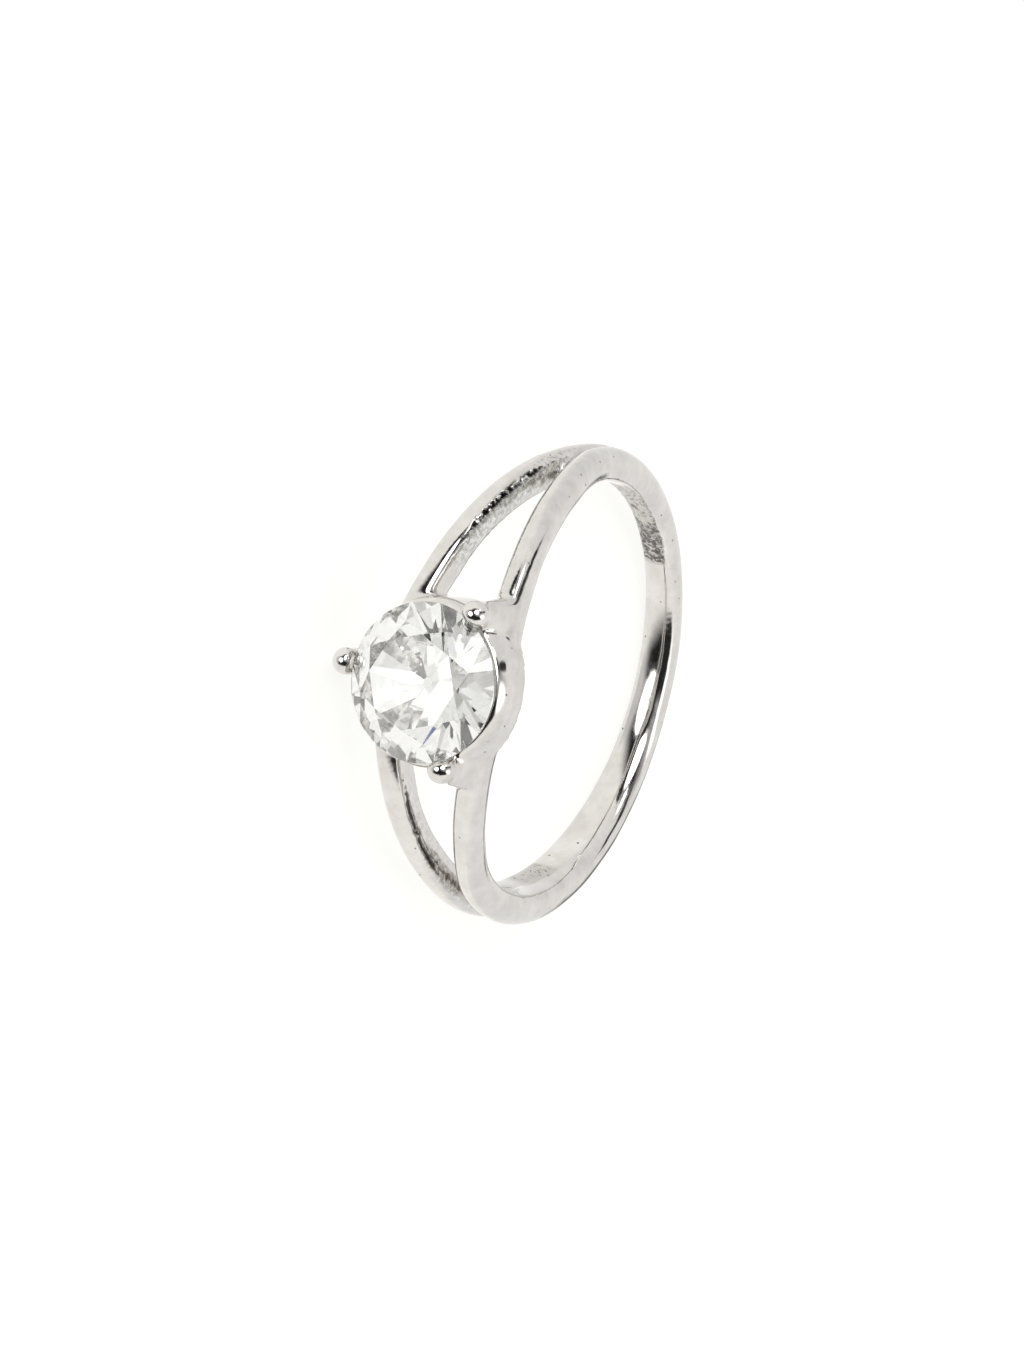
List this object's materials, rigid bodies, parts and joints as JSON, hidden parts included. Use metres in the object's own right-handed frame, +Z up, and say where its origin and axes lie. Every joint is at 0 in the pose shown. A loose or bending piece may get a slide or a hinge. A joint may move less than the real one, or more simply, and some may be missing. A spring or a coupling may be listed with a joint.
{
  "type": "split band ring with a stone",
  "caption": "Finger ring whose band splits into two strands under a round cup, with three beaded claws holding a round brilliant stone.",
  "frame": {"origin": "under the middle of the ring as it lies on its side, on the surface that it lies on", "axes": "+Z up from that surface, -Y towards the stone, +X towards the lower half of the band in the picture; the finger's axis leans 10.6 degrees from +Z towards +Y"},
  "size_m": [0.02, 0.022, 0.0077],
  "materials": {
    "polished_silver": "cast and polished, rhodium plated",
    "cut_stone": "facet polished"
  },
  "bodies": {
    "root": {"ring_metal": "polished_silver", "stone": "cut_stone"}
  },
  "joints": []
}
